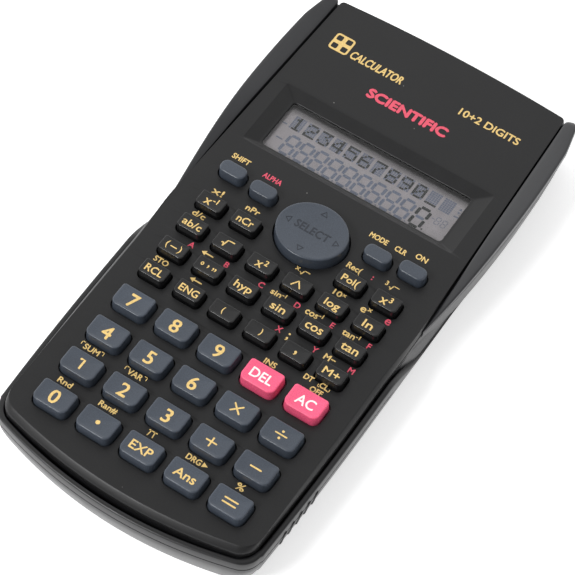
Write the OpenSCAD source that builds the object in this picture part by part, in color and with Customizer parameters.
// Pocket scientific calculator lying face up with its slide-on cover fitted on the back.
// Millimetres. X across the keyboard, +Y toward the display end, +Z up out of the keys.
// The origin is the centre of the footprint, on the surface the cover rests on.

/* [Body] */
// Length from the closed cover end to the display end
body_len = 156.6; // [156:0.1:157.6]
// Half width of the cover at the waist
shell_half = 38.1; // [38.1:0.1:38.7]
// Half width of the side wings where they are widest
wing_half = 39.9; // [39.9:0.1:40.6]
// Height of the flat face above the resting surface
face_z = 16.4; // [16.4:0.1:16.8]
// Height of the parting line between front and rear case
split_z = 13.6; // [13.5:0.05:13.7]
// Wall thickness of the case
case_wall = 1.6; // [1.4:0.1:1.8]
// Wall thickness of the slide cover
cover_wall = 1.4; // [1.3:0.1:1.5]

/* [Keys] */
// Height of the number keys above the face
number_rise = 2.8; // [2.4:0.1:3.2]
// Height of the function keys above the face
function_rise = 3.4; // [3:0.1:3.8]
// Column pitch of the number keys
number_pitch_x = 12.3; // [12:0.1:12.4]
// Row pitch of the number keys
number_pitch_y = 10.62; // [10.4:0.02:10.8]
// Column pitch of the function keys
function_pitch_x = 10.16; // [9.9:0.02:10.3]
// Row pitch of the function keys
function_pitch_y = 8.17; // [8:0.01:8.2]
// Gap between a key and its hole
key_gap = 0.25; // [0.2:0.05:0.35]

/* [Power] */
// Diameter of the battery cell
cell_d = 10.2; // [10:0.1:10.3]
// Length of the battery cell body
cell_len = 43.6; // [43:0.1:44]

/* [Hidden] */
eps = 0.01;

charcoal = "#37383a";
charcoal_back = "#2f3032";
key_slate = "#66707d";
key_black = "#262627";
key_pink = "#f4637f";
rubber_grey = "#8d8f8c";
board_green = "#2f6b45";
metal_grey = "#b9bbbd";

half_len = body_len / 2;

// Edge profiles: height, and how far the outline is drawn in at that height
cover_ridge_z = 13.7;
cover_floor = 1.8;
cover_levels = [[0, 2.9], [0.8, 2.3], [2.5, 1.7], [5, 0.95], [7.3, 0.3], [9, 0.05], [cover_ridge_z, 0]];
cavity_levels = [[cover_floor, 3.6], [3.4, 2.75], [5.2, 2.1], [7.5, cover_wall + 0.2], [15, cover_wall]];
cover_rail_z = 7.8;
ridge_start_y = -15;
ridge_end_y = 3;
cover_end_y = 76;
cover_end_r = 110;
cover_corner_r = 5.5;
cover_open_corner_r = 14;
cover_bow_y = -24;
cover_bow_r = 890;
tongue_z = [5.2, 6.4];
tongue_x = 34.8;
tongue_w = 1.8;
tongue_y = [-20, 60];
seam_z = 10.7;

// Body core, the part that slides inside the cover
body_gap = 0.4;
body_floor_z = 2.2;
body_inset = cover_wall + body_gap;
body_levels = [[body_floor_z, 3.9], [3.8, 3.05], [5.4, 2.45], [7.5, body_inset + 0.25], [split_z, body_inset]];
hollow_levels = [
    [body_floor_z + case_wall, 3.1 + case_wall], [7, body_inset + 0.5 + case_wall],
    [split_z + 1, body_inset + case_wall]
];
body_low_y = -75.7;
body_end_r = 132;
body_corner_r = 5;

// Face plateau and its edge chamfer
plate_half = 35.3;
plate_end_chamfer = 1.6;
plate_top_r = 480;
plate_top_corner = 3;
waist_y = [-8, 4];
chamfer_z = 14.9;
groove_floor_z = 14.2;
groove_w = 0.6;
plate_under_z = 14.7;
plateau_half_high = 34.2;

// Side wings beside the display
wing_low_y = -3;
wing_mid_y = 48;
wing_arc_r = 300;
wing_corner_r = 7.5;
wing_under_z = 8.4;
wing_root_x = 33.4;
wing_top_low = 14.8;
wing_top_rise = 2.6;
wing_top_y = [-4, 40];

// Display
window = [-26.4, 27.2, 26.4, 42.6];
bezel_outer = [-30.7, 25.2, 30.7, 46];
bezel_inner = [-27, 26.8, 27, 43];
bezel_floor_z = 15.4;
lens = [-28, 25.9, 28, 43.9];
lens_z = [14, 15];
lcd = [-29.4, 25.4, 29.4, 45.2];
lcd_z = [11.9, 13.8];

// Key stack, counted up from the board
board_z = [10.2, 11.4];
board = [-32.4, -66, 32.4, 46];
mat_z = [11.4, 12];
mat = [-29.5, -69.5, 29.5, 17.4];
dome_top_z = 13.15;
flange_z = [13.2, 14.4];
flange_w = 0.5;
dish_r = 34;
dish_depth = 0.22;

number_size = [9.8, 6.6];
number_radii = [0.9, 1.9];
number_mid_y = -47.33;
function_size = [7.4, 4.5];
function_radii = [0.5, 1.1];
function_top_y = 3.1;
oval_size = [7.4, 4.1];
oval_radii = [1.75, 1.75];
shift_pos = [26.2, 14.1];
alpha_pos = [16.7, 13.3];

// Direction pad on a cross pivot
pad_pos = [0, 9.5];
pad_axes = [9.6, 8.4];
pad_flange_z = [13.3, 13.9];
pad_gap = 0.35;
pad_pocket_r = 3.4;
pad_pocket_z = 15.3;
pad_dome_r = 6.4;
pivot_z = 13.2;
pivot_arm = 2.4;
pivot_pin_r = 0.6;
pivot_clear = 0.05;
yoke_gap = 1.5;
yoke_w = 2;
post_top_z = 12.2;
post_r = 2.7;

// Screws: x, y, height of the rear post
screws = [
    [30.9, -58, 10.1], [-30.9, -58, 10.1],
    [30.9, 20.6, 10.1], [-30.9, 20.6, 10.1],
    [30.9, 70.8, 11.4], [-30.9, 70.8, 11.4]
];
screw_head_r = 1.4;
screw_head_z = [4, 5.2];
screw_shank_r = 0.7;
screw_tip_z = 13.9;
boss_r = 1.35;
rear_post_r = 2.2;

// Battery bay
cell_y = 59;
cell_z = 9.1;
bay = [-25.4, 52.6, 25.4, 65.4];
bay_wall = 1.2;
bay_top_z = 12;
door = [-26.4, 51.6, 26.4, 71.4];
door_t = 1;
door_gap = 0.15;
door_screw_y = 68.4;
contact_z = [4.6, 12.6];
coil_pitch = 0.8;
coil_wire_r = 0.4;

// Grip ribs on the cover sides
rib_count = 5;
rib_y = -60;
rib_z = 9.4;
rib_pitch = 3.2;
rib_slant = 28;

$fn = 48;

function smooth(t) = t <= 0 ? 0 : t >= 1 ? 1 : t * t * (3 - 2 * t);
function ramp(y, span) = smooth((y - span[0]) / (span[1] - span[0]));
function mix(a, b, t) = a + (b - a) * t;

// Half widths of the outlines at a given length station
function shell_x(y) = shell_half - pow(max(0, cover_bow_y - y), 2) / (2 * cover_bow_r);
function plateau_x(y) = mix(shell_x(y) - body_inset, plateau_half_high, ramp(y, waist_y));
function wing_side_x(y) = wing_half - pow(y - wing_mid_y, 2) / (2 * wing_arc_r);
function wing_x(y) =
    let (yc = half_len - wing_corner_r, xc = wing_side_x(yc) - wing_corner_r)
    y <= yc ? wing_side_x(y) : xc + sqrt(max(0, pow(wing_corner_r, 2) - pow(y - yc, 2)));

// Closed outline from a half-width function, with bowed ends and round corners
function corner(cx, cy, r, a0) = [for (i = [1:5]) [cx + r * cos(a0 + 15 * i), cy + r * sin(a0 + 15 * i)]];
function right_side(half, inset, low_y, low_r, r0, high_y, high_r, r1) =
    let (
        y0 = low_y + inset,
        y1 = high_y - inset,
        x0 = half(y0 + r0) - inset - r0,
        x1 = half(y1 - r1) - inset - r1,
        c0 = y0 + x0 * x0 / (2 * low_r) + r0,
        c1 = y1 - x1 * x1 / (2 * high_r) - r1
    )
    concat(
        [for (i = [0:8]) let (x = x0 * i / 8) [x, y0 + x * x / (2 * low_r)]],
        corner(x0, c0, r0, -90),
        [for (i = [0:26]) let (y = mix(c0, c1, i / 26)) [half(y) - inset, y]],
        corner(x1, c1, r1, 0),
        [for (i = [6:-1:0]) let (x = x1 * i / 6) [x, y1 - x * x / (2 * high_r)]]
    );
function both_sides(p) = concat(p, [for (i = [len(p) - 2:-1:1]) [-p[i][0], p[i][1]]]);

shell_line = function (y) shell_x(y);
plateau_line = function (y) plateau_x(y);

function cover_outline(inset) =
    both_sides(right_side(shell_line, inset, -half_len, cover_end_r, cover_corner_r, cover_end_y, 9999,
        cover_open_corner_r));
function cavity_outline() =
    both_sides(right_side(shell_line, cover_wall, -half_len, cover_end_r, cover_corner_r, cover_end_y + 8, 9999, 3));
function body_outline(inset) =
    let (low_y = body_low_y - body_inset)
    both_sides(right_side(shell_line, inset, low_y, body_end_r, body_corner_r, half_len + 1.7, 600, 4));
function plateau_outline(inset) =
    both_sides(right_side(plateau_line, inset, body_low_y, body_end_r, body_corner_r, half_len,
        plate_top_r, plate_top_corner));

// Solid skinned through loops that all have the same number of points
module skin(loops) {
    n = len(loops[0]);
    m = len(loops);
    sides = [for (k = [0:m - 2], i = [0:n - 1]) let (j = (i + 1) % n, a = k * n, b = (k + 1) * n)
        each [[a + i, a + j, b + j], [a + i, b + j, b + i]]];
    low_cap = [[for (i = [0:n - 1]) n - 1 - i]];
    high_cap = [[for (i = [0:n - 1]) (m - 1) * n + i]];
    flipped = [for (f = concat(low_cap, sides, high_cap)) [for (i = [len(f) - 1:-1:0]) f[i]]];
    polyhedron([for (loop = loops) each loop], flipped, convexity = 8);
}

// Cross section across X, as tall as the levels, run the whole length of the body
module edge_profile(levels) {
    side = [for (l = levels) [shell_half - l[1], l[0]]];
    other = [for (i = [len(side) - 1:-1:0]) [-side[i][0], side[i][1]]];
    rotate([90, 0, 0]) translate([0, 0, -half_len - 10]) linear_extrude(body_len + 20)
        polygon(concat(side, other));
}

// Wide disc whose rim carries the same edge profile around the bowed keyboard end
module end_profile(levels, low_y, end_r) {
    rim = [for (l = levels) [end_r - l[1], l[0]]];
    translate([0, low_y + end_r, 0]) rotate_extrude($fn = 360)
        polygon(concat([[0, levels[0][0]]], rim, [[0, levels[len(levels) - 1][0]]]));
}

module outline_slab(outline, z) translate([0, 0, z[0]]) linear_extrude(z[1] - z[0]) polygon(outline);

module slab(r, z) translate([r[0], r[1], z[0]]) cube([r[2] - r[0], r[3] - r[1], z[1] - z[0]]);
module mirrored() for (s = [0, 1]) mirror([s, 0, 0]) children();

// Key outline: gently rounded back corners, rounder front corners
module key_shape(size, radii, grow = 0) {
    w = size[0] / 2 + grow;
    d = size[1] / 2 + grow;
    back = radii[0] + grow;
    front = radii[1] + grow;
    quarter = [for (i = [0:5]) 18 * i];
    polygon(concat(
        [for (a = quarter) [w - back + back * cos(a), d - back + back * sin(a)]],
        [for (a = quarter) [back - w - back * sin(a), d - back + back * cos(a)]],
        [for (a = quarter) [front - w - front * cos(a), front - d - front * sin(a)]],
        [for (a = quarter) [w - front + front * sin(a), front - d - front * cos(a)]]
    ));
}

module key_cap(size, radii, rise) {
    top = face_z + rise;
    difference() {
        union() {
            translate([0, 0, flange_z[0]])
                linear_extrude(top - flange_z[0]) key_shape(size, radii);
            translate([0, 0, flange_z[0]])
                linear_extrude(flange_z[1] - flange_z[0]) key_shape(size, radii, flange_w);
        }
        translate([0, 0, top + dish_r - dish_depth]) rotate([90, 0, 0])
            cylinder(r = dish_r, h = size[1] * 2, center = true, $fn = 96);
    }
}

// Key centres
function number_at(col, row) = [(col - 2) * number_pitch_x, number_mid_y + (1.5 - row) * number_pitch_y];
function function_at(col, row) = [(col - 2.5) * function_pitch_x, function_top_y - row * function_pitch_y];
number_sites = [for (row = [0:3], col = [0:4]) number_at(col, row)];
function_sites = concat(
    [for (col = [0, 1, 4, 5]) function_at(col, 0)],
    [for (row = [1:3], col = [0:5]) function_at(col, row)]
);
oval_sites = [
    [-shift_pos[0], shift_pos[1]], [-alpha_pos[0], alpha_pos[1]],
    [alpha_pos[0], alpha_pos[1]], [shift_pos[0], shift_pos[1]]
];
pad_dome_sites = [for (a = [0:90:270]) [pad_pos[0] + pad_dome_r * cos(a), pad_pos[1] + pad_dome_r * sin(a)]];

module number_key(col, row, shade = key_slate)
    color(shade) translate(number_at(col, row)) key_cap(number_size, number_radii, number_rise);
module function_key(col, row)
    color(key_black) translate(function_at(col, row)) key_cap(function_size, function_radii, function_rise);
module oval_key(i)
    color(key_slate) translate(oval_sites[i]) key_cap(oval_size, oval_radii, function_rise);

module pad_ellipse(grow = 0) {
    polygon([for (i = [0:47]) [(pad_axes[0] + grow) * cos(7.5 * i), (pad_axes[1] + grow) * sin(7.5 * i)]]);
}

// Two lugs hang under the pad and hold the front and back pins of the cross pivot
module pad_lugs() {
    for (s = [-1, 1]) difference() {
        translate([-yoke_w / 2, s * (yoke_gap + pivot_arm) / 2 - (pivot_arm - yoke_gap) / 2, post_top_z + 0.3])
            cube([yoke_w, pivot_arm - yoke_gap, pad_pocket_z - post_top_z]);
        translate([0, 0, pivot_z]) rotate([90, 0, 0])
            cylinder(r = pivot_pin_r + pivot_clear, h = 8, center = true);
    }
}

module direction_pad() {
    top = face_z + function_rise;
    color(key_slate) translate(pad_pos) {
        difference() {
            union() {
                translate([0, 0, pad_flange_z[0]]) linear_extrude(top - pad_flange_z[0]) pad_ellipse();
                translate([0, 0, pad_flange_z[0]])
                    linear_extrude(pad_flange_z[1] - pad_flange_z[0]) pad_ellipse(flange_w);
            }
            translate([0, 0, pad_flange_z[0] - 1])
                cylinder(r = pad_pocket_r, h = pad_pocket_z - pad_flange_z[0] + 1);
            translate([0, 0, top + 4 * dish_r - dish_depth])
                sphere(r = 4 * dish_r, $fn = 180);
        }
        pad_lugs();
    }
}

module pad_pivot() {
    color(metal_grey) translate([pad_pos[0], pad_pos[1], pivot_z]) {
        cube([yoke_w, yoke_w, 1.5], center = true);
        rotate([0, 90, 0]) cylinder(r = pivot_pin_r, h = 2 * pivot_arm, center = true);
        rotate([90, 0, 0]) cylinder(r = pivot_pin_r, h = 2 * pivot_arm, center = true);
    }
}

// Post on the rear case with two cheeks that hold the side pins of the cross pivot
module pad_post() {
    translate([pad_pos[0], pad_pos[1], 0]) difference() {
        union() {
            translate([0, 0, body_floor_z + eps]) cylinder(r = post_r, h = post_top_z - body_floor_z);
            for (s = [-1, 1])
                translate([s * (yoke_gap + pivot_arm) / 2 - (pivot_arm - yoke_gap) / 2, -yoke_w / 2, post_top_z - 1])
                    cube([pivot_arm - yoke_gap, yoke_w, 2.9]);
        }
        translate([0, 0, pivot_z]) rotate([0, 90, 0])
            cylinder(r = pivot_pin_r + pivot_clear, h = 8, center = true);
        translate([-yoke_gap, -yoke_w, pivot_z - 0.95]) cube([2 * yoke_gap, 2 * yoke_w, 3]);
    }
}

// Wing cross sections, one per length station
function wing_stations() =
    let (yc = half_len - wing_corner_r)
    concat([for (i = [0:16]) mix(wing_low_y, yc, i / 16)], [for (a = [15:15:60]) yc + wing_corner_r * sin(a)]);
function wing_top(y) = wing_top_low + wing_top_rise * ramp(y, wing_top_y);
function wing_under(y) = mix(split_z - 0.8, wing_under_z, ramp(y, [wing_low_y, 16]));
function front_wing_loop(y) =
    let (xo = wing_x(y), zt = wing_top(y), xg = plateau_x(y) + groove_w, zg = zt - 0.5 - 0.4 * ramp(y, wing_top_y))
    [
        [xg, y, split_z], [max(xo, xg + 0.9), y, split_z], [max(xo - 0.3, xg + 0.7), y, zt - 0.7],
        [max(xo - 0.9, xg + 0.3), y, zt], [xg, y, zg]
    ];
function rear_wing_loop(y) =
    let (xo = wing_x(y), zu = wing_under(y), h = split_z - zu, xg = plateau_x(y) + groove_w)
    [
        [wing_root_x, y, zu], [max(xo - 1.6, xg), y, zu], [max(xo - 0.5, xg + 0.5), y, zu + 0.3 * h],
        [max(xo, xg + 0.9), y, split_z], [wing_root_x, y, split_z]
    ];
function backwards(loop) = [for (i = [len(loop) - 1:-1:0]) loop[i]];
module front_wings() mirrored() skin([for (y = wing_stations()) backwards(front_wing_loop(y))]);
module rear_wings() mirrored() skin([for (y = wing_stations()) backwards(rear_wing_loop(y))]);

// Holes in the face for every key
module key_holes() {
    for (p = number_sites) translate(p) key_shape(number_size, number_radii, key_gap);
    for (p = function_sites) translate(p) key_shape(function_size, function_radii, key_gap);
    for (p = oval_sites) translate(p) key_shape(oval_size, oval_radii, key_gap);
    translate(pad_pos) pad_ellipse(pad_gap);
}

// Sloped frame around the display
module bezel_cut() {
    o = bezel_outer;
    b = bezel_inner;
    rise = face_z - bezel_floor_z;
    reach = 0.5;
    k = reach / rise;
    skin([
        [[b[0], b[1], bezel_floor_z], [b[2], b[1], bezel_floor_z], [b[2], b[3], bezel_floor_z],
            [b[0], b[3], bezel_floor_z]],
        [[o[0] - (b[0] - o[0]) * k, o[1] - (b[1] - o[1]) * k, face_z + reach],
            [o[2] + (o[2] - b[2]) * k, o[1] - (b[1] - o[1]) * k, face_z + reach],
            [o[2] + (o[2] - b[2]) * k, o[3] + (o[3] - b[3]) * k, face_z + reach],
            [o[0] - (b[0] - o[0]) * k, o[3] + (o[3] - b[3]) * k, face_z + reach]]
    ]);
}

module front_bosses() {
    for (s = screws) difference() {
        translate([s[0], s[1], s[2] > 11 ? s[2] + 0.1 : board_z[1] + 0.1])
            cylinder(r = boss_r, h = plate_under_z - board_z[1] + 0.1);
        translate([s[0], s[1], board_z[1] - 1]) cylinder(r = screw_shank_r, h = screw_tip_z - board_z[1] + 1.2);
    }
}

module plateau() {
    side_chamfer = shell_half - plate_half;
    intersection() {
        outline_slab(plateau_outline(0), [split_z, face_z]);
        edge_profile([[split_z - 1, body_inset], [chamfer_z, body_inset], [face_z, side_chamfer]]);
        end_profile([[split_z - 1, 0], [chamfer_z, 0], [face_z, plate_end_chamfer]], body_low_y, body_end_r);
    }
}

module front_case() {
    color(charcoal) {
        difference() {
            union() {
                outline_slab(body_outline(body_inset), [split_z, groove_floor_z]);
                plateau();
                front_wings();
            }
            outline_slab(plateau_outline(case_wall), [split_z - 1, plate_under_z]);
            translate([0, 0, split_z]) linear_extrude(10) key_holes();
            bezel_cut();
            slab(window, [split_z, face_z]);
            slab(lens, [split_z, lens_z[1]]);
        }
        front_bosses();
    }
}

module screw_bores() {
    for (s = screws) translate([s[0], s[1], 0]) {
        translate([0, 0, body_floor_z - 1]) cylinder(r = screw_head_r + 0.3, h = screw_head_z[1] - body_floor_z + 1);
        cylinder(r = screw_shank_r + 0.2, h = 20);
    }
}

module bay_walls() {
    outer = [bay[0] - bay_wall, bay[1] - bay_wall, bay[2] + bay_wall, bay[3] + bay_wall];
    difference() {
        slab(outer, [body_floor_z + door_t, bay_top_z]);
        slab(bay, [body_floor_z - 1, bay_top_z + 1]);
    }
}

module door_recess() {
    g = door_gap;
    slab([door[0] - g, door[1] - g, door[2] + g, door[3] + g], [body_floor_z - 1, body_floor_z + door_t]);
    slab(bay, [body_floor_z - 1, bay_top_z + 1]);
    translate([0, door_screw_y, 0]) cylinder(r = screw_shank_r + 0.1, h = 9);
}

// Long grooves in the body sides that the cover tongues run in, open at the keyboard end
module tongue_grooves() {
    mirrored() slab([tongue_x - 0.35, -half_len - 5, tongue_x + 6, tongue_y[1] + 0.5],
        [tongue_z[0] - 0.3, tongue_z[1] + 0.3]);
}

// Body core between two heights with its rounded lower edges
module core(outline, levels) {
    rim = [for (l = levels) [l[0], l[1] - body_inset]];
    intersection() {
        outline_slab(outline, [levels[0][0], levels[len(levels) - 1][0]]);
        edge_profile(levels);
        end_profile(rim, body_low_y, body_end_r);
    }
}

module rear_case() {
    color(charcoal_back) difference() {
        union() {
            difference() {
                union() {
                    core(body_outline(body_inset), body_levels);
                    rear_wings();
                }
                core(body_outline(body_inset + case_wall), hollow_levels);
            }
            for (s = screws) translate([s[0], s[1], body_floor_z + 0.5]) cylinder(r = rear_post_r, h = s[2] - body_floor_z - 0.5);
            translate([0, door_screw_y, body_floor_z + door_t]) cylinder(r = rear_post_r, h = 5);
            bay_walls();
            pad_post();
        }
        screw_bores();
        door_recess();
        tongue_grooves();
    }
}

module battery_door() {
    color(charcoal_back) difference() {
        union() {
            slab(door, [body_floor_z, body_floor_z + door_t - 0.05]);
            mirrored() slab([18, bay[1] + 0.2, 22, bay[1] + 0.9], [body_floor_z + 0.5, body_floor_z + 3]);
        }
        translate([0, door_screw_y, body_floor_z - 1]) cylinder(r = screw_shank_r + 0.1, h = 4);
        translate([0, door_screw_y, body_floor_z - 1]) cylinder(r = screw_head_r + 0.2, h = 1.5);
        for (i = [-1:1]) translate([0, bay[1] + 3 + 2 * i, body_floor_z - 0.5]) slab([-5, -0.4, 5, 0.4], [0, 0.8]);
    }
}

module one_screw(head_z, tip_z) {
    difference() {
        union() {
            translate([0, 0, head_z[0]]) cylinder(r = screw_head_r, h = head_z[1] - head_z[0]);
            translate([0, 0, head_z[1] - eps]) cylinder(r = screw_shank_r - 0.02, h = tip_z - head_z[1]);
        }
        for (a = [0, 90]) rotate(a) translate([-0.9, -0.2, head_z[0] - 1]) cube([1.8, 0.4, 1.5]);
    }
}

module case_screws() {
    color(metal_grey) {
        for (s = screws) translate([s[0], s[1], 0]) one_screw(screw_head_z, screw_tip_z);
        translate([0, door_screw_y, 0]) one_screw([body_floor_z - 0.05, body_floor_z + 0.5], 7);
    }
}

module window_lens() color("#c8ccd0", 0.35) slab(lens + [0.1, 0.1, -0.1, -0.1], lens_z);

module lcd_panel() {
    color("#a39a98") {
        slab(lcd, [lcd_z[0], mix(lcd_z[0], lcd_z[1], 0.5)]);
        slab(lcd + [1, 1, -1, -0.6], [lcd_z[0], lcd_z[1] - 0.2]);
        slab(window + [-0.8, -0.8, 0.8, 0.8], [lcd_z[0], lcd_z[1]]);
    }
}

// Flat flex that carries the display signals from the board up to the glass
module lcd_ribbon() {
    color("#c9762f") rotate([90, 0, 90]) translate([0, 0, -23]) linear_extrude(46)
        polygon([[18.2, 11.4], [25.4, 11.4], [29, 11.4], [29, 11.88], [25.2, 11.88], [21.5, 11.6], [18.2, 11.6]]);
}

module board_holes() {
    for (s = screws) if (s[2] < 11) translate([s[0], s[1], board_z[0] - 1]) cylinder(r = screw_shank_r + 0.2, h = 4);
    translate([pad_pos[0], pad_pos[1], board_z[0] - 1]) cylinder(r = post_r + 0.3, h = 4);
}

module circuit_board() {
    color(board_green) difference() {
        union() {
            slab(board, board_z);
            translate([12, 34, board_z[0] - 1]) cylinder(r = 6, h = 1 + eps);
            translate([-14, 34, board_z[0] - 1.2]) cube([5, 3, 1.2 + eps]);
            translate([-20, 28, board_z[0] - 2.2]) cylinder(r = 2.2, h = 2.2 + eps);
        }
        board_holes();
    }
}

module one_dome(base_r, tip_r, top_z) {
    difference() {
        translate([0, 0, mat_z[1] - eps]) cylinder(r1 = base_r, r2 = tip_r, h = top_z - mat_z[1]);
        translate([0, 0, mat_z[0] - 1]) cylinder(r = tip_r - 0.6, h = 1.9);
    }
}

module dome_mat() {
    color(rubber_grey) {
        difference() {
            slab(mat, mat_z);
            translate([pad_pos[0], pad_pos[1], mat_z[0] - 1]) cylinder(r = post_r + 0.6, h = 3);
        }
        for (p = number_sites) translate(p) one_dome(2.9, 1.9, dome_top_z);
        for (p = function_sites) translate(p) one_dome(2.1, 1.5, dome_top_z);
        for (p = oval_sites) translate(p) one_dome(1.9, 1.4, dome_top_z);
        for (p = pad_dome_sites) translate(p) one_dome(1.9, 1.3, pad_flange_z[0] - 0.05);
    }
}

// Cell lies across the body with its raised positive cap toward +X
module battery_cell() {
    color("#4d6f9c") translate([0, cell_y, cell_z]) rotate([0, 90, 0]) {
        translate([0, 0, -cell_len / 2]) cylinder(r = cell_d / 2, h = cell_len);
        translate([0, 0, cell_len / 2]) cylinder(r = 1.9, h = 0.9);
    }
}

module battery_contacts() {
    color(metal_grey) translate([0, cell_y, 0]) {
        slab([cell_len / 2 + 0.95, -3.5, cell_len / 2 + 1.35, 3.5], contact_z);
        slab([cell_len / 2 + 0.95, -1.2, bay[2] + 0.1, 1.2], [bay_top_z + 0.2, contact_z[1]]);
        slab([bay[0] + 0.05, -3.5, bay[0] + 0.45, 3.5], contact_z);
        translate([-cell_len / 2 - 2.9, 0, cell_z]) rotate([0, 90, 0]) for (i = [0:3])
            translate([0, 0, coil_pitch * i]) rotate_extrude()
                translate([3.4 - 0.7 * i, 0]) circle(r = coil_wire_r, $fn = 24);
    }
}

// Side profile of the cover: tall ridge around the keyboard, low rails under the wings
module cover_side_profile() {
    steps = 12;
    polygon(concat(
        [[-half_len - 5, -1], [-half_len - 5, cover_ridge_z]],
        [for (i = [0:steps]) let (t = i / steps)
            [mix(ridge_start_y, ridge_end_y, t), mix(cover_ridge_z, cover_rail_z, smooth(t))]],
        [[half_len + 5, cover_rail_z], [half_len + 5, -1]]
    ));
}

module cover_ribs() {
    mirrored() for (i = [0:rib_count - 1])
        translate([shell_x(rib_y + i * rib_pitch) - 0.65, rib_y + i * rib_pitch, rib_z])
            rotate([-rib_slant, 0, 0]) translate([0, -0.45, -1.7]) cube([0.8, 0.9, 3.4]);
}

// Thin step line around the outside of the keyboard end
module cover_seam() {
    difference() {
        translate([-60, -90, seam_z - 0.2]) cube([120, 83, 0.4]);
        outline_slab(cover_outline(0.42), [seam_z - 1, seam_z + 1]);
    }
}

module cover_shell() {
    difference() {
        intersection() {
            outline_slab(cover_outline(0), [0, cover_ridge_z]);
            edge_profile(cover_levels);
            end_profile(cover_levels, -half_len, cover_end_r);
            rotate([90, 0, 90]) translate([0, 0, -60]) linear_extrude(120) cover_side_profile();
        }
        intersection() {
            outline_slab(cavity_outline(), [cover_floor, 15]);
            edge_profile(cavity_levels);
            end_profile(cavity_levels, -half_len, cover_end_r);
        }
        cover_seam();
    }
}

module slide_cover() {
    color(charcoal) {
        cover_shell();
        cover_ribs();
        mirrored() slab([tongue_x, tongue_y[0], tongue_x + tongue_w, tongue_y[1]], tongue_z);
    }
}

slide_cover();
front_case();
rear_case();
window_lens();
lcd_panel();
lcd_ribbon();
circuit_board();
dome_mat();
battery_door();
battery_cell();
battery_contacts();
case_screws();
pad_pivot();
direction_pad();  // key_direction_pad
oval_key(0);  // key_shift
oval_key(1);  // key_alpha
oval_key(2);  // key_mode
oval_key(3);  // key_on
function_key(0, 0);  // key_inverse
function_key(1, 0);  // key_combination
function_key(4, 0);  // key_polar
function_key(5, 0);  // key_cube
function_key(0, 1);  // key_fraction
function_key(1, 1);  // key_root
function_key(2, 1);  // key_square
function_key(3, 1);  // key_power
function_key(4, 1);  // key_log
function_key(5, 1);  // key_ln
function_key(0, 2);  // key_sign
function_key(1, 2);  // key_degrees
function_key(2, 2);  // key_hyp
function_key(3, 2);  // key_sin
function_key(4, 2);  // key_cos
function_key(5, 2);  // key_tan
function_key(0, 3);  // key_recall
function_key(1, 3);  // key_eng
function_key(2, 3);  // key_open_bracket
function_key(3, 3);  // key_close_bracket
function_key(4, 3);  // key_comma
function_key(5, 3);  // key_memory_plus
number_key(0, 0);  // key_7
number_key(1, 0);  // key_8
number_key(2, 0);  // key_9
number_key(3, 0, key_pink);  // key_delete
number_key(4, 0, key_pink);  // key_all_clear
number_key(0, 1);  // key_4
number_key(1, 1);  // key_5
number_key(2, 1);  // key_6
number_key(3, 1);  // key_multiply
number_key(4, 1);  // key_divide
number_key(0, 2);  // key_1
number_key(1, 2);  // key_2
number_key(2, 2);  // key_3
number_key(3, 2);  // key_plus
number_key(4, 2);  // key_minus
number_key(0, 3);  // key_0
number_key(1, 3);  // key_point
number_key(2, 3);  // key_exponent
number_key(3, 3);  // key_answer
number_key(4, 3);  // key_equals
